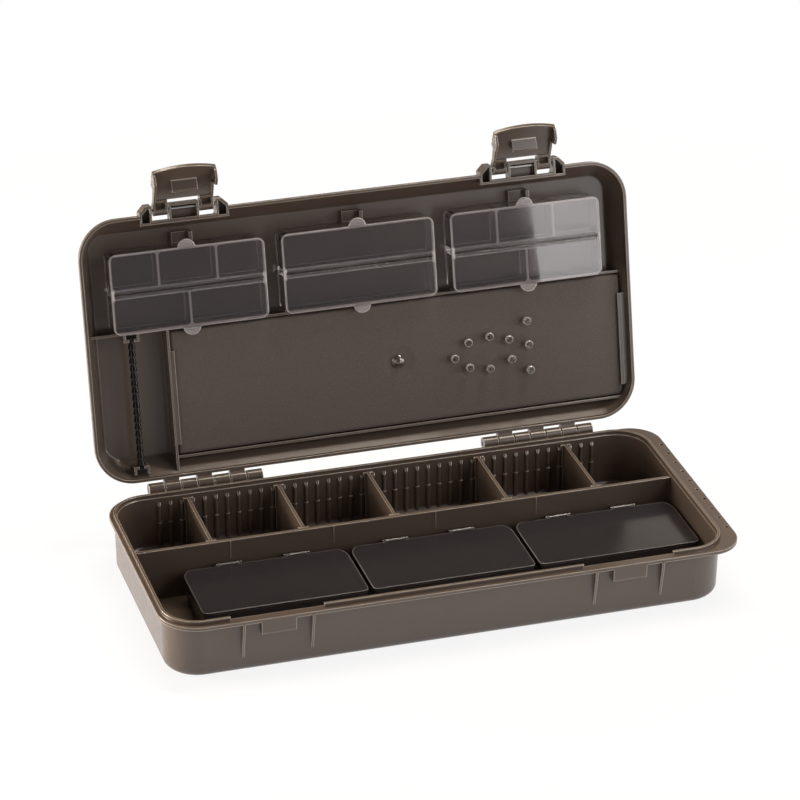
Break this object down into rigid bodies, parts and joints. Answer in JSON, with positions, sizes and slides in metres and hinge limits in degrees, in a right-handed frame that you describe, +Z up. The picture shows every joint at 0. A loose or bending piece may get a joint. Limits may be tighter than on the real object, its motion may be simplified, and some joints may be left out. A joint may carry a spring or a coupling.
{
  "type": "tackle box",
  "caption": "Flat hinged tackle box with snap latches, a divided tray, loose accessory boxes, and a lid that holds a foam rig board, a beaded hook strip and clear bit boxes.",
  "frame": {"origin": "centre of the tray's rim outline, projected onto the flat underside", "axes": "+X along the length to the user's right, +Y towards the hinges, +Z up"},
  "size_m": [0.3668, 0.2313, 0.2406],
  "materials": {
    "shell": "satin moulded",
    "smoked": "smoked, glossy",
    "accessory_body": "dark, glossy",
    "clear_tray": "clear, slightly hazy",
    "clear_flap": "clear",
    "foam": "closed-cell foam",
    "stud": "satin",
    "rig_pin": "clear",
    "strip": "black, moulded",
    "steel": "drawn wire"
  },
  "bodies": {
    "base": {"base_tray": "shell", "hinge_pins": "steel"},
    "lid": {"lid_shell": "shell", "latch_pins": "steel", "foam_board": "foam", "foam_stud": "stud", "rig_pins": "rig_pin", "hook_strip": "strip"},
    "latch_left": {"latch_left": "shell"},
    "latch_right": {"latch_right": "shell"},
    "divider_1": {"divider_1": "shell"},
    "divider_2": {"divider_2": "shell"},
    "divider_3": {"divider_3": "shell"},
    "divider_4": {"divider_4": "shell"},
    "divider_5": {"divider_5": "shell"},
    "accessory_box_1": {"accessory_box_1": "accessory_body"},
    "accessory_lid_1": {"accessory_lid_1": "smoked"},
    "accessory_box_2": {"accessory_box_2": "accessory_body"},
    "accessory_lid_2": {"accessory_lid_2": "smoked"},
    "accessory_box_3": {"accessory_box_3": "accessory_body"},
    "accessory_lid_3": {"accessory_lid_3": "smoked"},
    "bit_tray_left": {"bit_tray_left": "clear_tray"},
    "bit_flap_upper_left": {"bit_flap_upper_left": "clear_flap"},
    "bit_flap_lower_left": {"bit_flap_lower_left": "clear_flap"},
    "bit_tray_middle": {"bit_tray_middle": "clear_tray"},
    "bit_flap_upper_middle": {"bit_flap_upper_middle": "clear_flap"},
    "bit_flap_lower_middle": {"bit_flap_lower_middle": "clear_flap"},
    "bit_tray_right": {"bit_tray_right": "clear_tray"},
    "bit_flap_upper_right": {"bit_flap_upper_right": "clear_flap"},
    "bit_flap_lower_right": {"bit_flap_lower_right": "clear_flap"}
  },
  "joints": [
    {"name": "lid_hinge", "type": "hinge", "parent": "base", "child": "lid", "pos_m": [0, 0.0906, 0.037], "axis": [-1, 0, 0], "range_deg": [-103.1, 0]},
    {"name": "latch_left_pivot", "type": "hinge", "parent": "lid", "child": "latch_left", "pos_m": [-0.111, 0.13494, 0.20903], "axis": [-1, 0, 0], "range_deg": [-60, 55]},
    {"name": "latch_right_pivot", "type": "hinge", "parent": "lid", "child": "latch_right", "pos_m": [0.111, 0.13494, 0.20903], "axis": [-1, 0, 0], "range_deg": [-60, 55]},
    {"name": "divider_1_lift", "type": "slide", "parent": "base", "child": "divider_1", "axis": [0, 0, 1], "range_m": [0, 0.038]},
    {"name": "divider_2_lift", "type": "slide", "parent": "base", "child": "divider_2", "axis": [0, 0, 1], "range_m": [0, 0.038]},
    {"name": "divider_3_lift", "type": "slide", "parent": "base", "child": "divider_3", "axis": [0, 0, 1], "range_m": [0, 0.038]},
    {"name": "divider_4_lift", "type": "slide", "parent": "base", "child": "divider_4", "axis": [0, 0, 1], "range_m": [0, 0.038]},
    {"name": "divider_5_lift", "type": "slide", "parent": "base", "child": "divider_5", "axis": [0, 0, 1], "range_m": [0, 0.038]},
    {"name": "accessory_box_1_lift", "type": "slide", "parent": "base", "child": "accessory_box_1", "axis": [0, 0, 1], "range_m": [0, 0.065]},
    {"name": "accessory_lid_1_hinge", "type": "hinge", "parent": "accessory_box_1", "child": "accessory_lid_1", "pos_m": [-0.0951, 0.0125, 0.0206], "axis": [-1, 0, 0], "range_deg": [0, 90]},
    {"name": "accessory_box_2_lift", "type": "slide", "parent": "base", "child": "accessory_box_2", "axis": [0, 0, 1], "range_m": [0, 0.065]},
    {"name": "accessory_lid_2_hinge", "type": "hinge", "parent": "accessory_box_2", "child": "accessory_lid_2", "pos_m": [0.0124, 0.0125, 0.0206], "axis": [-1, 0, 0], "range_deg": [0, 90]},
    {"name": "accessory_box_3_lift", "type": "slide", "parent": "base", "child": "accessory_box_3", "axis": [0, 0, 1], "range_m": [0, 0.065]},
    {"name": "accessory_lid_3_hinge", "type": "hinge", "parent": "accessory_box_3", "child": "accessory_lid_3", "pos_m": [0.1199, 0.0125, 0.0206], "axis": [-1, 0, 0], "range_deg": [0, 90]},
    {"name": "bit_tray_left_pull", "type": "slide", "parent": "lid", "child": "bit_tray_left", "axis": [0, -0.974, 0.2267], "range_m": [0, 0.024]},
    {"name": "bit_flap_upper_left_hinge", "type": "hinge", "parent": "bit_tray_left", "child": "bit_flap_upper_left", "pos_m": [-0.1112, 0.12136, 0.16213], "axis": [1, 0, 0], "range_deg": [0, 85]},
    {"name": "bit_flap_lower_left_hinge", "type": "hinge", "parent": "bit_tray_left", "child": "bit_flap_lower_left", "pos_m": [-0.1112, 0.12059, 0.15882], "axis": [-1, 0, 0], "range_deg": [0, 85]},
    {"name": "bit_tray_middle_pull", "type": "slide", "parent": "lid", "child": "bit_tray_middle", "axis": [0, -0.974, 0.2267], "range_m": [0, 0.024]},
    {"name": "bit_flap_upper_middle_hinge", "type": "hinge", "parent": "bit_tray_middle", "child": "bit_flap_upper_middle", "pos_m": [0, 0.12136, 0.16213], "axis": [1, 0, 0], "range_deg": [0, 85]},
    {"name": "bit_flap_lower_middle_hinge", "type": "hinge", "parent": "bit_tray_middle", "child": "bit_flap_lower_middle", "pos_m": [0, 0.12059, 0.15882], "axis": [-1, 0, 0], "range_deg": [0, 85]},
    {"name": "bit_tray_right_pull", "type": "slide", "parent": "lid", "child": "bit_tray_right", "axis": [0, -0.974, 0.2267], "range_m": [0, 0.024]},
    {"name": "bit_flap_upper_right_hinge", "type": "hinge", "parent": "bit_tray_right", "child": "bit_flap_upper_right", "pos_m": [0.1112, 0.12136, 0.16213], "axis": [1, 0, 0], "range_deg": [0, 85]},
    {"name": "bit_flap_lower_right_hinge", "type": "hinge", "parent": "bit_tray_right", "child": "bit_flap_lower_right", "pos_m": [0.1112, 0.12059, 0.15882], "axis": [-1, 0, 0], "range_deg": [0, 85]}
  ]
}
